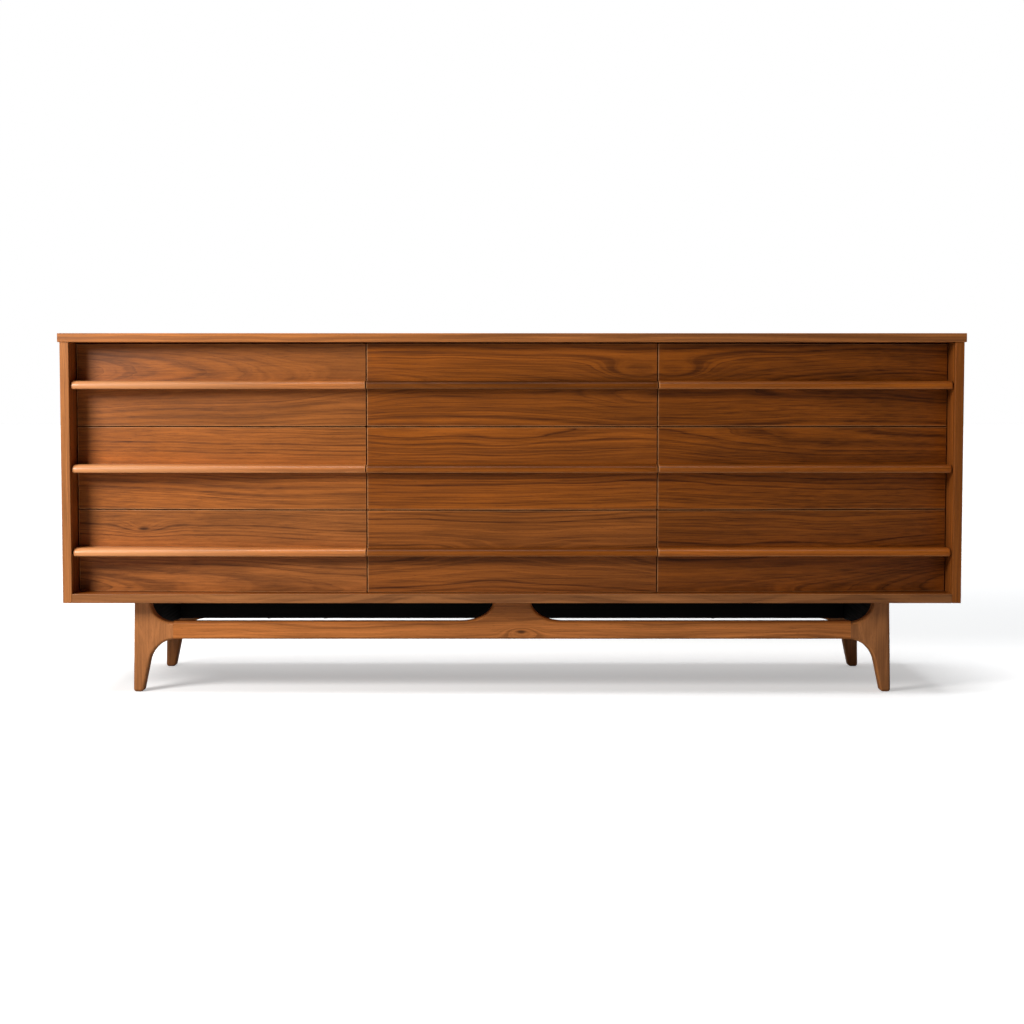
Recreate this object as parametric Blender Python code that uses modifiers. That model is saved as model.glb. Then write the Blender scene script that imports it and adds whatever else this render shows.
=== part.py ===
"""A long, low walnut dresser: nine bowed drawers in a straight case on a sled base."""

import math

import bmesh
import bpy

# Metres. The origin is on the floor under the middle of the case, +X to the right,
# -Y towards whoever opens the drawers.
HEIGHT = 0.7335
TOP_WIDTH = 1.829
TOP_DEPTH = 0.483
CASE_WIDTH = 1.821
BOARD = 0.018                  # top, sides and dividers
BOTTOM_BOARD = 0.0185
BASE_HEIGHT = 0.188
FRONT_OVERHANG = 0.0015        # the top stands this far proud of the case
GLUE_GAP = 0.0003              # between pieces that are fixed to each other
REVEAL = 0.002                 # shadow gap round the drawer fronts
BOTTOM_REVEAL = 0.0005         # the lowest row almost touches the bottom board
ARRIS = 0.001                  # eased edge of the boards
SHARP_ANGLE = 40               # edges that turn by more degrees than this are eased

# Drawer fronts lie on one arc that runs through all three columns.
BOW_RECESS = 0.024             # arc behind the case front, on the centre line
BOW_SAG = 0.038                # how much deeper the arc is at the case sides
FRONT_THICKNESS = 0.020
FRONT_STEPS = 6
DIVIDER_X = 0.2955

# Full-width lip pull at half the height of each front.
PULL_THICKNESS = 0.0166
NOSE_RECESS = 0.001            # nose behind the case front, on the centre line
NOSE_SAG = 0.006
NOSE_TOP_RUN = 0.013           # how far back the rounded upper nose reaches
NOSE_TOP_DROP = 0.010
NOSE_BOTTOM_ROUND = 0.004
NOSE_STEPS = 5
NOSE_BOTTOM_STEPS = 3

# Drawer boxes behind the fronts.
BOX_WALL = 0.012
BOX_HEIGHT = 0.130
BOX_SIDE_CLEARANCE = 0.004
BOX_LIFT = 0.0015
BOX_BACK_CLEARANCE = 0.008
DRAWER_FLOOR = 0.006
DRAWER_FLOOR_LIFT = 0.008

# Inside of the case.
SHELF = 0.012
SHELF_SETBACK = 0.002          # shelves and dividers behind the backs of the fronts
BACK_PANEL = 0.006
BACK_PANEL_INSET = 0.0055

# Sled base: front and rear frames of two legs and a stretcher, black rails between.
SLED_INSET = 0.045             # behind the case front and in from the case back
SLED_THICKNESS = 0.030
SLED_ROUND = 0.006
SLED_ROUND_STEPS = 3
LEG_TOP_X = 0.775              # outer face of a leg under the case
LEG_FOOT_X = 0.779             # and at the floor
LEG_TOP_WIDTH = 0.033
FOOT_WIDTH = 0.0205
TAPER_HEIGHT = 0.063           # the inner face is straight up to here
TAPER_WIDTH = 0.0325
LOWER_ARCH = 0.058             # radius between leg and stretcher underside
UPPER_ARCH = 0.0445            # radius between leg and stretcher top
SEAM_FROM_OUTSIDE = 0.079
STRETCHER_HIGH = 0.1455
BLOCK_HALF_WIDTH = 0.039
BLOCK_FLARE = 0.066
ARCH_STEPS = 7
RAIL_THICKNESS = 0.018
RAIL_LOW = 0.1115

CASE_FRONT = FRONT_OVERHANG - TOP_DEPTH / 2
CASE_BACK = TOP_DEPTH / 2
TOP_UNDERSIDE = HEIGHT - BOARD
BAY_BOTTOM = BASE_HEIGHT + BOTTOM_BOARD
INNER_HALF = CASE_WIDTH / 2 - BOARD
PANEL_FACE = CASE_BACK - BACK_PANEL_INSET - BACK_PANEL
FRONT_HEIGHT = (TOP_UNDERSIDE - BAY_BOTTOM - BOTTOM_REVEAL - 3 * REVEAL) / 3
ROW_PITCH = FRONT_HEIGHT + REVEAL
SLED_HALF = CASE_BACK - SLED_INSET - SLED_THICKNESS / 2

ROWS = {"bottom": 0, "middle": 1, "top": 2}
COLUMNS = {
    "left": (-INNER_HALF, -DIVIDER_X),
    "centre": (-DIVIDER_X, DIVIDER_X),
    "right": (DIVIDER_X, INNER_HALF),
}


def arc_y(x, recess, sag, inset=0.0):
    """Y of a shallow arc across the case, moved back by inset."""
    radius = (INNER_HALF ** 2 + sag ** 2) / (2 * sag)
    return CASE_FRONT + recess + radius - math.sqrt((radius - inset) ** 2 - x ** 2)


def bow(x, inset=0.0):
    return arc_y(x, BOW_RECESS, BOW_SAG, inset)


def nose(x):
    return arc_y(x, NOSE_RECESS, NOSE_SAG)


def spread(low, high, steps):
    return [low + (high - low) * step / steps for step in range(steps + 1)]


def ellipse(centre, radii, start, end, steps=ARCH_STEPS):
    """Points round a centre from one angle to another, in degrees."""
    turns = [math.radians(angle) for angle in spread(start, end, steps)]
    return [(centre[0] + radii[0] * math.cos(t), centre[1] + radii[1] * math.sin(t)) for t in turns]


def clear_scene():
    for obj in list(bpy.data.objects):
        bpy.data.objects.remove(obj, do_unlink=True)


def finish(name, colour, roughness):
    material = bpy.data.materials.new(name)
    material.use_nodes = True
    shader = material.node_tree.nodes["Principled BSDF"]
    shader.inputs["Base Color"].default_value = (*colour, 1)
    shader.inputs["Roughness"].default_value = roughness
    shader.inputs["Metallic"].default_value = 0
    return material


def place(name, mesh, material, parent=None, location=(0, 0, 0)):
    """One named piece in the dresser's collection."""
    mesh.name = name
    mesh.materials.clear()
    mesh.materials.append(material)
    obj = bpy.data.objects.new(name, mesh)
    obj.location = location
    obj.parent = parent
    dresser.objects.link(obj)
    return obj


def ease(obj, width=ARRIS, segments=1, weighted=False):
    """Rounds the sharp edges, or only the weighted ones."""
    bevel = obj.modifiers.new("eased edges", "BEVEL")
    bevel.width = width
    bevel.segments = segments
    bevel.limit_method = "WEIGHT" if weighted else "ANGLE"
    bevel.angle_limit = math.radians(SHARP_ANGLE)
    bevel.use_clamp_overlap = True


def slab(outline, thickness):
    """Closed mesh of a flat outline in XY, centred on Z."""
    curve = bpy.data.curves.new("outline", "CURVE")
    curve.dimensions = "2D"
    curve.fill_mode = "BOTH"
    curve.extrude = thickness / 2
    spline = curve.splines.new("POLY")
    spline.points.add(len(outline) - 1)
    for point, (x, y) in zip(spline.points, outline):
        point.co = (x, y, 0, 1)
    spline.use_cyclic_u = True
    holder = bpy.data.objects.new("outline", curve)
    dresser.objects.link(holder)
    bpy.context.view_layer.update()
    mesh = bpy.data.meshes.new_from_object(holder.evaluated_get(bpy.context.evaluated_depsgraph_get()))
    bpy.data.objects.remove(holder)
    bpy.data.curves.remove(curve)
    body = bmesh.new()
    body.from_mesh(mesh)
    bmesh.ops.remove_doubles(body, verts=body.verts, dist=1e-6)
    bmesh.ops.dissolve_limit(body, angle_limit=1e-4, verts=body.verts, edges=body.edges)
    bmesh.ops.recalc_face_normals(body, faces=body.faces)
    body.to_mesh(mesh)
    body.free()
    return mesh


def board(name, low, high, material, eased=True):
    """Straight board between two opposite corners."""
    centre = [(a + b) / 2 for a, b in zip(low, high)]
    body = bmesh.new()
    bmesh.ops.create_cube(body, size=1)
    bmesh.ops.scale(body, vec=[b - a for a, b in zip(low, high)], verts=body.verts)
    mesh = bpy.data.meshes.new(name)
    body.to_mesh(mesh)
    body.free()
    obj = place(name, mesh, material, location=centre)
    if eased:
        ease(obj)
    return obj


def plan_piece(name, outline, low, high, material, parent=None):
    """Upright piece cut to a plan outline given in the dresser's X and Y."""
    anchor = parent.location if parent else (0, 0, 0)
    mesh = slab([(x - anchor[0], y - anchor[1]) for x, y in outline], high - low)
    return place(name, mesh, material, parent, (0, 0, (low + high) / 2 - anchor[2]))


def loft(sections):
    """Closed skin through matching rings of points, capped at both ends."""
    body = bmesh.new()
    rings = [[body.verts.new(point) for point in section] for section in sections]
    for ring, following in zip(rings, rings[1:]):
        for i in range(len(ring)):
            j = (i + 1) % len(ring)
            body.faces.new((ring[i], ring[j], following[j], following[i]))
    body.faces.new(rings[0])
    body.faces.new(rings[-1])
    bmesh.ops.recalc_face_normals(body, faces=body.faces)
    mesh = bpy.data.meshes.new("loft")
    body.to_mesh(mesh)
    body.free()
    return mesh


def case_boards():
    half = CASE_WIDTH / 2
    board("top", (-TOP_WIDTH / 2, -TOP_DEPTH / 2, TOP_UNDERSIDE), (TOP_WIDTH / 2, CASE_BACK, HEIGHT), walnut)
    for name, low, high in (("side_left", -half, -INNER_HALF), ("side_right", INNER_HALF, half)):
        board(name, (low, CASE_FRONT, BASE_HEIGHT), (high, CASE_BACK, TOP_UNDERSIDE - GLUE_GAP), walnut)
    inside = INNER_HALF - GLUE_GAP
    board("bottom", (-inside, CASE_FRONT, BASE_HEIGHT), (inside, CASE_BACK, BAY_BOTTOM), walnut)
    board(
        "back",
        (-inside, PANEL_FACE, BAY_BOTTOM + GLUE_GAP),
        (inside, PANEL_FACE + BACK_PANEL, TOP_UNDERSIDE - GLUE_GAP),
        plywood,
        eased=False,
    )
    divider_front = bow(DIVIDER_X + BOARD / 2, FRONT_THICKNESS + SHELF_SETBACK)
    for name, x in (("divider_left", -DIVIDER_X), ("divider_right", DIVIDER_X)):
        board(
            name,
            (x - BOARD / 2, divider_front, BAY_BOTTOM + GLUE_GAP),
            (x + BOARD / 2, PANEL_FACE - GLUE_GAP, TOP_UNDERSIDE - GLUE_GAP),
            walnut,
            eased=False,
        )


def bay_sides(column):
    """Inner faces of the boards on either side of a column of drawers."""
    low, high = COLUMNS[column]
    low += 0 if column == "left" else BOARD / 2
    high -= 0 if column == "right" else BOARD / 2
    return low, high


def row_floor(row):
    """Height of what a drawer of this row slides on."""
    if row == 0:
        return BAY_BOTTOM
    return BAY_BOTTOM + BOTTOM_REVEAL + row * ROW_PITCH + (SHELF - REVEAL) / 2


def bowed_outline(low, high, inset, back, steps):
    """Plan outline with the bow in front and a straight back."""
    front = [(x, bow(x, inset)) for x in spread(low, high, steps)]
    return front + [(high, back), (low, back)]


def shelves():
    for column in COLUMNS:
        low, high = bay_sides(column)
        outline = bowed_outline(
            low + GLUE_GAP,
            high - GLUE_GAP,
            FRONT_THICKNESS + SHELF_SETBACK,
            PANEL_FACE - GLUE_GAP,
            FRONT_STEPS,
        )
        for name, row in (("lower", 1), ("upper", 2)):
            top = row_floor(row)
            plan_piece(f"shelf_{name}_{column}", outline, top - SHELF, top, plywood)


def pull_section(x, middle):
    """Ring round the pull at one station: root, rounded nose, root."""
    root = bow(x) - GLUE_GAP
    tip = nose(x)
    high = middle + PULL_THICKNESS / 2
    low = middle - PULL_THICKNESS / 2
    upper_radii = (NOSE_TOP_RUN, NOSE_TOP_DROP)
    lower_radii = (NOSE_BOTTOM_ROUND, NOSE_BOTTOM_ROUND)
    upper = ellipse((tip + NOSE_TOP_RUN, high - NOSE_TOP_DROP), upper_radii, 90, 180, NOSE_STEPS)
    lower = ellipse(
        (tip + NOSE_BOTTOM_ROUND, low + NOSE_BOTTOM_ROUND), lower_radii, 180, 270, NOSE_BOTTOM_STEPS
    )
    return [(x, y, z) for y, z in [(root, high), *upper, *lower, (root, low)]]


def drawer(row_name, column):
    row = ROWS[row_name]
    key = f"{row_name}_{column}"
    low_x = COLUMNS[column][0] + (REVEAL if column == "left" else REVEAL / 2)
    high_x = COLUMNS[column][1] - (REVEAL if column == "right" else REVEAL / 2)
    low_z = BAY_BOTTOM + BOTTOM_REVEAL + row * ROW_PITCH
    high_z = low_z + FRONT_HEIGHT
    middle = (low_x + high_x) / 2

    carrier = bpy.data.objects.new(f"drawer_{key}", None)
    carrier.location = (middle, bow(middle), (low_z + high_z) / 2)
    dresser.objects.link(carrier)

    stations = spread(low_x, high_x, FRONT_STEPS)
    face = [(x, bow(x)) for x in stations]
    back = [(x, bow(x, FRONT_THICKNESS)) for x in reversed(stations)]
    ease(plan_piece(f"front_{key}", face + back, low_z, high_z, walnut, carrier))

    rings = [
        [(x - carrier.location.x, y - carrier.location.y, z) for x, y, z in pull_section(station, 0)]
        for station in stations
    ]
    place(f"pull_{key}", loft(rings), walnut_light, carrier)

    behind = FRONT_THICKNESS + GLUE_GAP
    box_low, box_high = bay_sides(column)
    box_low += BOX_SIDE_CLEARANCE
    box_high -= BOX_SIDE_CLEARANCE
    box_back = PANEL_FACE - BOX_BACK_CLEARANCE
    box_bottom = row_floor(row) + BOX_LIFT
    wall = [
        (box_low, bow(box_low, behind)),
        (box_low + BOX_WALL, bow(box_low + BOX_WALL, behind)),
        (box_low + BOX_WALL, box_back - BOX_WALL),
        (box_high - BOX_WALL, box_back - BOX_WALL),
        (box_high - BOX_WALL, bow(box_high - BOX_WALL, behind)),
        (box_high, bow(box_high, behind)),
        (box_high, box_back),
        (box_low, box_back),
    ]
    plan_piece(f"box_{key}", wall, box_bottom, box_bottom + BOX_HEIGHT, maple, carrier)

    floor = bowed_outline(
        box_low + BOX_WALL + GLUE_GAP,
        box_high - BOX_WALL - GLUE_GAP,
        behind,
        box_back - BOX_WALL - GLUE_GAP,
        FRONT_STEPS,
    )
    floor_low = box_bottom + DRAWER_FLOOR_LIFT
    plan_piece(f"floor_{key}", floor, floor_low, floor_low + DRAWER_FLOOR, plywood, carrier)


def leg_outside(z):
    return LEG_FOOT_X + (LEG_TOP_X - LEG_FOOT_X) * z / BASE_HEIGHT


def lower_arch(start, end, steps):
    """Arch under the stretcher between two angles; a start of None is where it leaves the leg."""
    foot = LEG_FOOT_X - FOOT_WIDTH
    taper = leg_outside(TAPER_HEIGHT) - TAPER_WIDTH
    lean = math.atan2(foot - taper, TAPER_HEIGHT)
    centre = (taper - LOWER_ARCH * math.cos(lean), TAPER_HEIGHT - LOWER_ARCH * math.sin(lean))
    if start is None:
        start = math.degrees(lean)
    return ellipse(centre, (LOWER_ARCH, LOWER_ARCH), start, end, steps)


def seam_angle():
    """Where the glue line between leg and stretcher crosses the lower arch."""
    top_of_arch = lower_arch(90, 90, 1)[0][0]
    return math.degrees(math.acos((LEG_TOP_X - SEAM_FROM_OUTSIDE - top_of_arch) / LOWER_ARCH))


def leg_outline():
    """Right leg seen from the front: outer face, foot, both arches, seam."""
    top = BASE_HEIGHT - GLUE_GAP
    seam = LEG_TOP_X - SEAM_FROM_OUTSIDE + GLUE_GAP
    lower = lower_arch(None, seam_angle(), ARCH_STEPS)
    upper = ellipse((seam, top), (LEG_TOP_X - LEG_TOP_WIDTH - seam, UPPER_ARCH), 270, 360)
    return [
        (LEG_TOP_X, top),
        (LEG_FOOT_X, 0),
        (LEG_FOOT_X - FOOT_WIDTH, 0),
        *lower[:-1],
        (seam, lower[-1][1]),
        *upper,
    ], seam


def stretcher_outline():
    """Stretcher with the block that rises to the case in the middle."""
    top = BASE_HEIGHT - GLUE_GAP
    end = LEG_TOP_X - SEAM_FROM_OUTSIDE
    flare = ellipse(
        (BLOCK_HALF_WIDTH + BLOCK_FLARE, top), (BLOCK_FLARE, top - STRETCHER_HIGH), 180, 270
    )
    right = [*flare, (end, STRETCHER_HIGH), *lower_arch(seam_angle(), 90, 2)]
    left = [(-x, z) for x, z in reversed(right)]
    return left + right, end


def sled_piece(name, outline, seams, y, material):
    """Thick upright outline with soft edges, left square where it is glued to its neighbour."""
    mesh = slab(outline, SLED_THICKNESS)
    body = bmesh.new()
    body.from_mesh(mesh)
    weight = body.edges.layers.float.new("bevel_weight_edge")
    for edge in body.edges:
        flat = abs(edge.verts[0].co.z - edge.verts[1].co.z) < GLUE_GAP
        at_seam = any(all(abs(vert.co.x - seam) < GLUE_GAP for vert in edge.verts) for seam in seams)
        at_case = all(vert.co.y > BASE_HEIGHT - 2 * GLUE_GAP for vert in edge.verts)
        at_foot = all(vert.co.y < GLUE_GAP for vert in edge.verts)
        edge[weight] = 1.0 if at_foot or flat and not at_seam and not at_case else 0.0
    body.to_mesh(mesh)
    body.free()
    obj = place(name, mesh, material, location=(0, y, 0))
    obj.rotation_euler = (math.pi / 2, 0, 0)
    ease(obj, SLED_ROUND, SLED_ROUND_STEPS, weighted=True)


def base():
    leg, seam = leg_outline()
    mirrored = [(-x, z) for x, z in reversed(leg)]
    stretcher, stretcher_end = stretcher_outline()
    for end, y in (("front", -SLED_HALF), ("rear", SLED_HALF)):
        sled_piece(f"leg_{end}_left", mirrored, [-seam], y, walnut)
        sled_piece(f"leg_{end}_right", leg, [seam], y, walnut)
        sled_piece(f"stretcher_{end}", stretcher, [-stretcher_end, stretcher_end], y, walnut)

    rail_top = BASE_HEIGHT - GLUE_GAP
    rail_end = SLED_HALF - SLED_THICKNESS / 2 - GLUE_GAP
    inner = LEG_TOP_X - LEG_TOP_WIDTH
    outer = LEG_TOP_X - ARRIS
    for name, low, high in (("rail_left", -outer, -inner), ("rail_right", inner, outer)):
        board(name, (low, -rail_end, RAIL_LOW), (high, rail_end, rail_top), black_paint)
    between = inner - GLUE_GAP
    board(
        "rail_rear",
        (-between, rail_end - RAIL_THICKNESS, RAIL_LOW),
        (between, rail_end, rail_top),
        black_paint,
    )


clear_scene()
dresser = bpy.data.collections.new("dresser")
bpy.context.scene.collection.children.link(dresser)

walnut = finish("walnut", (0.30, 0.13, 0.05), 0.38)
walnut_light = finish("walnut lip", (0.42, 0.20, 0.08), 0.34)
maple = finish("maple", (0.66, 0.50, 0.33), 0.5)
plywood = finish("plywood", (0.55, 0.40, 0.25), 0.6)
black_paint = finish("black paint", (0.012, 0.012, 0.012), 0.55)

case_boards()
shelves()
for row_name in ROWS:
    for column in COLUMNS:
        drawer(row_name, column)
base()
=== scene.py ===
import math

import bmesh
import bpy
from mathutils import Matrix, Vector


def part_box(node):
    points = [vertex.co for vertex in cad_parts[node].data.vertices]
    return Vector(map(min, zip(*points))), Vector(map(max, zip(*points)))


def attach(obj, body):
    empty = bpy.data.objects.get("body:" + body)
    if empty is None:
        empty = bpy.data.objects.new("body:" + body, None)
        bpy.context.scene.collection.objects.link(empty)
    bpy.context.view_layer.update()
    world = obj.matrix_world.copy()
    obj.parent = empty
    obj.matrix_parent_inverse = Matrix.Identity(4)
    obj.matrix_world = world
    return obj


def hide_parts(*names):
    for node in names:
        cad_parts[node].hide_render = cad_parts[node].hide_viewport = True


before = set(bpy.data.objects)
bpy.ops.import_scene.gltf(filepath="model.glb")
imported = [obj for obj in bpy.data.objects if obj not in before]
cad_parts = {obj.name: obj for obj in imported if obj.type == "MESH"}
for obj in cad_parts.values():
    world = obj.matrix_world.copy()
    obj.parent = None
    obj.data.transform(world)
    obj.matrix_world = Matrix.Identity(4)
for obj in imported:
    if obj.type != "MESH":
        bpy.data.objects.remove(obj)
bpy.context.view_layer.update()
print("frame loaded:", len(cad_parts), "nodes")

rowNames = ("top", "middle", "bottom")
columnNames = ("left", "centre", "right")
cadGap = 0.0003                    # left between the touching pieces of a body
near = 0.0003                      # places closer than this count as the same


# small helpers for meshes

def nodeBox(node):
    low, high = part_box(node)
    return Vector(low), Vector(high)


def addPiece(name, mesh, material, body, stands=()):
    mesh.name = name
    mesh.materials.clear()
    mesh.materials.append(material)
    piece = bpy.data.objects.new(name, mesh)
    bpy.context.scene.collection.objects.link(piece)
    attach(piece, body)
    if stands:
        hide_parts(*stands)
    return piece


def softenEdges(piece, width, segments, angle=35, weighted=False):
    bevel = piece.modifiers.new("soft edges", "BEVEL")
    bevel.width = width
    bevel.segments = segments
    bevel.limit_method = "WEIGHT" if weighted else "ANGLE"
    bevel.angle_limit = math.radians(angle)
    bevel.use_clamp_overlap = True
    bevel.harden_normals = True
    piece.data.shade_smooth()


def boxMesh(low, high):
    body = bmesh.new()
    bmesh.ops.create_cube(body, size=1)
    size = Vector(high) - Vector(low)
    middle = (Vector(high) + Vector(low)) / 2
    bmesh.ops.scale(body, vec=size, verts=body.verts)
    bmesh.ops.translate(body, vec=middle, verts=body.verts)
    return meshFrom(body)


def meshFrom(body):
    bmesh.ops.recalc_face_normals(body, faces=body.faces)
    mesh = bpy.data.meshes.new("piece")
    body.to_mesh(mesh)
    body.free()
    return mesh


def closeLoft(body, rings):
    # a skin over a row of rings, closed at both ends
    for ring, following in zip(rings, rings[1:]):
        for i in range(len(ring)):
            j = (i + 1) % len(ring)
            body.faces.new((ring[i], ring[j], following[j], following[i]))
    body.faces.new(rings[0])
    body.faces.new(rings[-1])


def addSlab(body, outline, across, start, end):
    # outline is a list of pairs; across is the axis it is pushed along
    order = {"x": (1, 2, 0), "y": (0, 2, 1), "z": (0, 1, 2)}[across]
    rings = []
    for depth in (start, end):
        ring = []
        for first, second in outline:
            place = [0.0, 0.0, 0.0]
            place[order[0]] = first
            place[order[1]] = second
            place[order[2]] = depth
            ring.append(body.verts.new(place))
        rings.append(ring)
    closeLoft(body, rings)


def slabMesh(outline, across, start, end):
    body = bmesh.new()
    addSlab(body, outline, across, start, end)
    return meshFrom(body)


def steps(low, high, count):
    return [low + (high - low) * i / count for i in range(count + 1)]


def arcPoints(centre, radii, start, end, count):
    turns = [math.radians(angle) for angle in steps(start, end, count)]
    return [(centre[0] + radii[0] * math.cos(turn), centre[1] + radii[1] * math.sin(turn)) for turn in turns]


# small helpers for shader nodes

def newGroup(name, inputs, outputs):
    group = bpy.data.node_groups.new(name, "ShaderNodeTree")
    for label, kind, default in inputs:
        socket = group.interface.new_socket(label, in_out="INPUT", socket_type="NodeSocket" + kind)
        if default is not None:
            socket.default_value = default
    for label, kind in outputs:
        group.interface.new_socket(label, in_out="OUTPUT", socket_type="NodeSocket" + kind)
    given = group.nodes.new("NodeGroupInput").outputs
    result = group.nodes.new("NodeGroupOutput").inputs
    return group, given, result


def setSocket(tree, socket, value):
    if isinstance(value, bpy.types.NodeSocket):
        tree.links.new(value, socket)
    else:
        socket.default_value = value


def addNode(tree, kind, values=None, **settings):
    node = tree.nodes.new("ShaderNode" + kind)
    for label, value in settings.items():
        setattr(node, label, value)
    for label, value in (values or {}).items():
        setSocket(tree, node.inputs[label], value)
    return node


def placeGroup(tree, group, values):
    return addNode(tree, "Group", values, node_tree=group).outputs


def giveOut(group, result, values):
    for label, value in values.items():
        group.links.new(value, result[label])


def calc(tree, operation, first, second=0.0, clamp=False):
    return addNode(tree, "Math", {0: first, 1: second}, operation=operation, use_clamp=clamp).outputs[0]


def plus(tree, first, second, clamp=False):
    return calc(tree, "ADD", first, second, clamp)


def minus(tree, first, second):
    return calc(tree, "SUBTRACT", first, second)


def times(tree, first, second, clamp=False):
    return calc(tree, "MULTIPLY", first, second, clamp)


def over(tree, first, second):
    return calc(tree, "DIVIDE", first, second)


def vectorCalc(tree, operation, first, second=(0, 0, 0)):
    node = addNode(tree, "VectorMath", {0: first, 1: second}, operation=operation)
    return node.outputs["Value" if operation == "LENGTH" else "Vector"]


def splitVector(tree, vector):
    return addNode(tree, "SeparateXYZ", {"Vector": vector}).outputs


def joinVector(tree, x, y, z):
    return addNode(tree, "CombineXYZ", {"X": x, "Y": y, "Z": z}).outputs[0]


def greyOf(tree, value):
    return addNode(tree, "CombineColor", {0: value, 1: value, 2: value}).outputs[0]


def noise(tree, place, density, detail=2.0, roughness=0.5, distortion=0.0):
    # density is how fine the pattern is along each axis, so a low first value draws it out along the grain
    values = {
        "Vector": vectorCalc(tree, "MULTIPLY", place, density), "Scale": 1.0,
        "Detail": detail, "Roughness": roughness, "Distortion": distortion,
    }
    return addNode(tree, "TexNoise", values).outputs


def noiseLine(tree, value, scale, detail=1.0, roughness=0.5):
    values = {"W": value, "Scale": scale, "Detail": detail, "Roughness": roughness}
    return addNode(tree, "TexNoise", values, noise_dimensions="1D").outputs["Fac"]


def sway(tree, place, density, detail, reach):
    swing = vectorCalc(tree, "SUBTRACT", noise(tree, place, density, detail)["Color"], (0.5, 0.5, 0.5))
    return vectorCalc(tree, "MULTIPLY", swing, reach)


def between(tree, value, low, high, newLow=0.0, newHigh=1.0):
    values = {"Value": value, "From Min": low, "From Max": high, "To Min": newLow, "To Max": newHigh}
    return addNode(tree, "MapRange", values, interpolation_type="SMOOTHSTEP").outputs["Result"]


def blendColours(tree, amount, first, second, mode="MIX"):
    values = {"Factor": amount, 6: first, 7: second}
    return addNode(tree, "Mix", values, data_type="RGBA", blend_type=mode).outputs[2]


# shared shader groups

ringShape = {
    "sway": (1.7, 3.2, 3.2),       # how often the log sways along, across and into the board
    "ragged": (7, 60, 60),
    "raggedReach": 0.0045,
    "bandScale": 0.95,             # bands of darker years
    "bandDetail": 3.0,
    "bandRoughness": 0.7,
    "bandRange": (0.30, 0.72),
    "lateWood": 4.0,               # how sharply a year ends in its dark line
    "lineScale": 0.23,
    "lineRange": (0.38, 0.62),
    "lineDepth": 0.9,
    "growthDepth": 0.72,
    "streakScale": 0.105,
    "streakRange": (0.36, 0.70),
    "figure": (3.2, 17, 17),       # light that rolls under the lacquer
    "figureDistortion": 0.4,
}


def seededPlace(group, given):
    seed = given["Seed"]
    return vectorCalc(group, "ADD", given["Place"], joinVector(group, seed, seed, seed))


# Growth rings of a log, cut by the board. Place runs x along the grain, y across the board, z into it.
def makeGrowthRings():
    group, given, result = newGroup(
        "growth rings",
        [
            ("Place", "Vector", None),
            ("Pith Across", "Float", 0.05),
            ("Pith Depth", "Float", 0.12),
            ("Wander", "Float", 0.06),
            ("Ring Width", "Float", 0.011),
            ("Shift", "Float", 0.0),
            ("Seed", "Float", 0.0),
        ],
        [("Growth", "Float"), ("Streak", "Float"), ("Figure", "Float")],
    )
    place = seededPlace(group, given)
    wander = given["Wander"]
    drift = sway(group, place, ringShape["sway"], 2.0, joinVector(group, wander, wander, wander))
    pith = joinVector(group, 0.0, given["Pith Across"], given["Pith Depth"])
    offset = vectorCalc(group, "SUBTRACT", given["Place"], pith)
    offset = vectorCalc(group, "ADD", offset, drift)
    radius = vectorCalc(group, "LENGTH", vectorCalc(group, "MULTIPLY", offset, (0, 1, 1)))
    ragged = minus(group, noise(group, place, ringShape["ragged"])["Fac"], 0.5)
    radius = plus(group, radius, times(group, ragged, ringShape["raggedReach"]))
    radius = plus(group, radius, given["Shift"])
    years = plus(group, over(group, radius, given["Ring Width"]), given["Seed"])
    bands = noiseLine(group, years, ringShape["bandScale"], ringShape["bandDetail"],
                      ringShape["bandRoughness"])
    late = calc(group, "POWER", calc(group, "FRACT", years), ringShape["lateWood"])
    strength = between(group, noiseLine(group, years, ringShape["lineScale"]), *ringShape["lineRange"])
    lines = times(group, times(group, late, strength), ringShape["lineDepth"])
    growth = plus(group, between(group, bands, *ringShape["bandRange"]), lines)
    streak = noiseLine(group, years, ringShape["streakScale"])
    figure = noise(group, place, ringShape["figure"], 3.0, distortion=ringShape["figureDistortion"])["Fac"]
    giveOut(group, result, {
        "Growth": times(group, growth, ringShape["growthDepth"], clamp=True),
        "Streak": between(group, streak, *ringShape["streakRange"]),
        "Figure": figure,
    })
    return group


fibreShape = {
    "wave": (9, 30, 30),
    "waveReach": (0, 0.004, 0.004),
    "broad": (2.3, 185, 185),
    "narrow": (6, 430, 430),
    "fibreRoughness": 0.6,
    "poresAcross": 1500.0,
    "poreRange": (0.62, 0.72),
}


# Fine fibre lines and short open pores.
def makeFibres():
    group, given, result = newGroup(
        "fibres and pores",
        [("Place", "Vector", None), ("Pore Length", "Float", 0.012), ("Seed", "Float", 0.0)],
        [("Fibre", "Float"), ("Pore", "Float")],
    )
    place = seededPlace(group, given)
    wave = sway(group, place, fibreShape["wave"], 1.0, fibreShape["waveReach"])
    place = vectorCalc(group, "ADD", place, wave)
    broad = noise(group, place, fibreShape["broad"], 2.0, fibreShape["fibreRoughness"])["Fac"]
    narrow = noise(group, place, fibreShape["narrow"], 1.0, fibreShape["fibreRoughness"])["Fac"]
    along = over(group, 1.0, given["Pore Length"])
    across = fibreShape["poresAcross"]
    pores = noise(group, place, joinVector(group, along, across, across), 1.0)["Fac"]
    giveOut(group, result, {
        "Fibre": plus(group, times(group, broad, 0.5), times(group, narrow, 0.5)),
        "Pore": between(group, pores, *fibreShape["poreRange"]),
    })
    return group


knotRim = (0.3, 1.4)               # where the dark core of a knot starts and stops fading, in core sizes


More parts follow.
